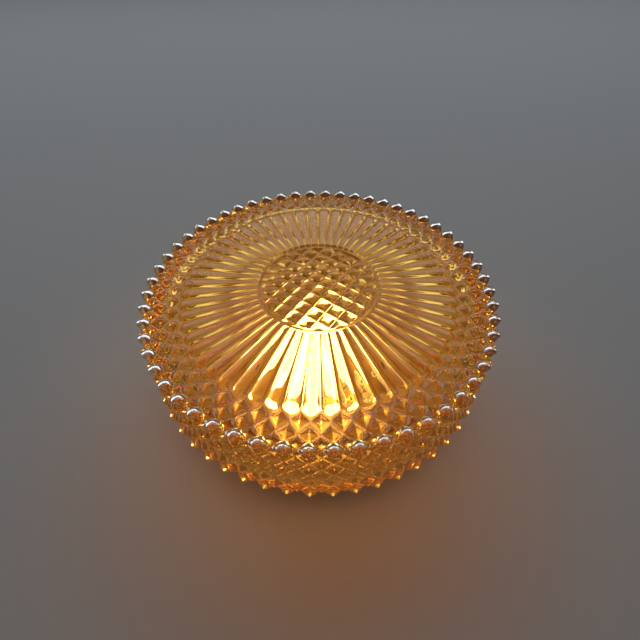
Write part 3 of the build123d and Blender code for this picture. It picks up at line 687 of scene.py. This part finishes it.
def earth_sleeve():
    """Green sleeve with a yellow stripe along its upper side."""
    s = Shader("earth_sleeve", (0.10, 0.36, 0.07), 0.4)
    facing = s.node("NewGeometry")
    split = s.node("SeparateXYZ")
    s.link(facing.outputs["Normal"], split.inputs["Vector"])
    s.link(s.ramp(split.outputs["Z"], ((0.62, (0.09, 0.34, 0.06)), (0.68, (0.80, 0.66, 0.08)))),
           s.bsdf.inputs["Base Color"])
    s.link(s.spread(s.noise(500.0), 0.35, 0.5), s.bsdf.inputs["Roughness"])
    return s.material


def clear_glass():
    s = Shader("clear_glass", (0.95, 0.97, 0.96), 0.02, Transmission_Weight=1.0, IOR=1.52)
    s.bump(s.noise(300.0), 0.1, 0.0002)
    return s.material


MATERIALS = {
    "amber_glass": amber_glass(),
    "lit_bulb": lit_bulb(),
    "filament": glowing_filament(),
    "grey_felt": felt(),
    "earth_sleeve": earth_sleeve(),
    "clear_glass": clear_glass(),
    "gold_lacquer": textured("gold_lacquer", (0.48, 0.31, 0.12), (0.36, 0.22, 0.08), (0.30, 0.45),
                             0.35, 500.0, 0.15, Coat_Weight=0.3, Coat_Roughness=0.15),
    "zinc_steel": textured("zinc_steel", (0.62, 0.62, 0.60), (0.45, 0.46, 0.47), (0.28, 0.45),
                           1.0, 700.0, 0.15),
    "brass": textured("brass", (0.80, 0.58, 0.25), (0.55, 0.36, 0.13), (0.20, 0.40), 1.0, 450.0, 0.1),
    "knurled_brass": textured("knurled_brass", (0.83, 0.62, 0.30), (0.50, 0.34, 0.13),
                              (0.20, 0.38), 1.0, 600.0, 0.15),
    "bulb_cap_brass": textured("bulb_cap_brass", (0.84, 0.68, 0.40), (0.66, 0.48, 0.24),
                               (0.18, 0.30), 1.0, 400.0, 0.08),
    "spring_bronze": textured("spring_bronze", (0.70, 0.46, 0.26), (0.50, 0.30, 0.15),
                              (0.22, 0.36), 1.0, 500.0, 0.1),
    "tinned_copper": textured("tinned_copper", (0.72, 0.68, 0.62), (0.62, 0.52, 0.42),
                              (0.28, 0.42), 1.0, 600.0, 0.2),
    "solder": textured("solder", (0.66, 0.66, 0.66), (0.50, 0.50, 0.51), (0.22, 0.40), 1.0, 500.0, 0.3),
    "nickel_wire": textured("nickel_wire", (0.66, 0.63, 0.58), (0.50, 0.48, 0.44), (0.25, 0.40),
                            1.0, 900.0, 0.1),
    "porcelain": textured("porcelain", (0.88, 0.87, 0.82), (0.80, 0.77, 0.70), (0.06, 0.14),
                          0.0, 120.0, 0.1, Coat_Weight=0.6, Coat_Roughness=0.05),
    "black_glass": textured("black_glass", (0.025, 0.025, 0.03), (0.012, 0.012, 0.014),
                            (0.05, 0.12), 0.0, 250.0, 0.1),
    "black_rubber": textured("black_rubber", (0.035, 0.034, 0.033), (0.015, 0.015, 0.015),
                             (0.55, 0.75), 0.0, 900.0, 0.3),
    "ivory_plastic": textured("ivory_plastic", (0.80, 0.75, 0.60), (0.72, 0.65, 0.48),
                              (0.35, 0.50), 0.0, 800.0, 0.2),
    "brown_sleeve": textured("brown_sleeve", (0.22, 0.09, 0.04), (0.15, 0.06, 0.025),
                             (0.30, 0.45), 0.0, 400.0, 0.15),
    "blue_sleeve": textured("blue_sleeve", (0.05, 0.16, 0.42), (0.03, 0.11, 0.32),
                            (0.30, 0.45), 0.0, 400.0, 0.15),
}


# ---------------------------------------------------------------- building
def set_material(obj, material):
    obj.data.materials.clear()
    obj.data.materials.append(material)


def add_piece(obj, node, body):
    """Lets a piece stand for a CAD node, with that node's slot, on the body it rides on."""
    slot = SLOTS[node]
    set_material(obj, MATERIALS[slot])
    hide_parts(node)
    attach(obj, body)


SLOTS = {part["node"]: part["material_slot"] for part in frame["record"]["subparts"]}
for name, node in frame["nodes"].items():
    set_material(node, MATERIALS[SLOTS[name]])

add_piece(glass_shade(), "glass_shade", "shade")
add_piece(felt_gasket(), "shade_gasket", "base")
add_piece(lampholder_shell(), "lampholder_shell", "base")
add_piece(bulb_cap(), "bulb_cap", "lamp")
add_piece(filament_coil(), "bulb_filament", "lamp")


# ---------------------------------------------------------------- camera, floor, light
CAMERA_BACK = 0.198  # metres from the light's axis
CAMERA_ABOVE = 0.1917  # metres above the face
CAMERA_FORWARD = (0.0026, 0.6505, -0.7595)
CAMERA_LENS = 21.84  # millimetres, on a 36 mm wide sensor
FLOOR_SIZE = 6.0  # metres
LIGHT_AIM = Vector((0, 0, 0.05))


def add_camera():
    """A wide phone-like lens, held in front and looking steeply down at the face."""
    data = bpy.data.cameras.new("camera")
    data.sensor_width = 36.0
    data.lens = CAMERA_LENS
    data.clip_start = 0.01
    camera = bpy.data.objects.new("camera", data)
    bpy.context.scene.collection.objects.link(camera)
    camera.location = (0.0, -CAMERA_BACK, FACE_Z * MM + CAMERA_ABOVE)
    camera.rotation_euler = Vector(CAMERA_FORWARD).to_track_quat("-Z", "Y").to_euler()
    bpy.context.scene.camera = camera


def add_floor():
    mesh = bpy.data.meshes.new("floor")
    half = FLOOR_SIZE / 2
    corners = [(-half, -half, 0), (half, -half, 0), (half, half, 0), (-half, half, 0)]
    mesh.from_pydata(corners, [], [(0, 1, 2, 3)])
    floor = bpy.data.objects.new("floor", mesh)
    bpy.context.scene.collection.objects.link(floor)
    set_material(floor, Shader("floor", (0.44, 0.43, 0.42), 0.7).material)


def add_area(name, location, size, radiance, colour):
    """A soft rectangle of light that faces the object, by its width, height and radiance."""
    data = bpy.data.lights.new(name, "AREA")
    data.shape = "RECTANGLE"
    data.size, data.size_y = size
    data.energy = radiance * pi * size[0] * size[1]
    data.color = colour
    light = bpy.data.objects.new(name, data)
    light.location = location
    aim = LIGHT_AIM - Vector(location)
    light.rotation_euler = aim.to_track_quat("-Z", "Y").to_euler()
    bpy.context.scene.collection.objects.link(light)


def add_world():
    world = bpy.data.worlds.new("world")
    bpy.context.scene.world = world
    world.use_nodes = True
    background = world.node_tree.nodes["Background"]
    background.inputs["Color"].default_value = (0.70, 0.70, 0.70, 1)
    background.inputs["Strength"].default_value = 0.07


add_camera()
add_floor()
add_area("sky", (-0.15, 1.50, 1.40), (4.4, 1.4), 1.15, (0.82, 0.91, 1.0))
add_area("overhead", (0.35, -0.45, 2.0), (1.1, 1.1), 0.6, (1.0, 0.97, 0.93))
add_world()
bpy.context.scene.cycles.max_bounces = 24
bpy.context.scene.cycles.transmission_bounces = 20
bpy.context.scene.view_settings.view_transform = "Standard"
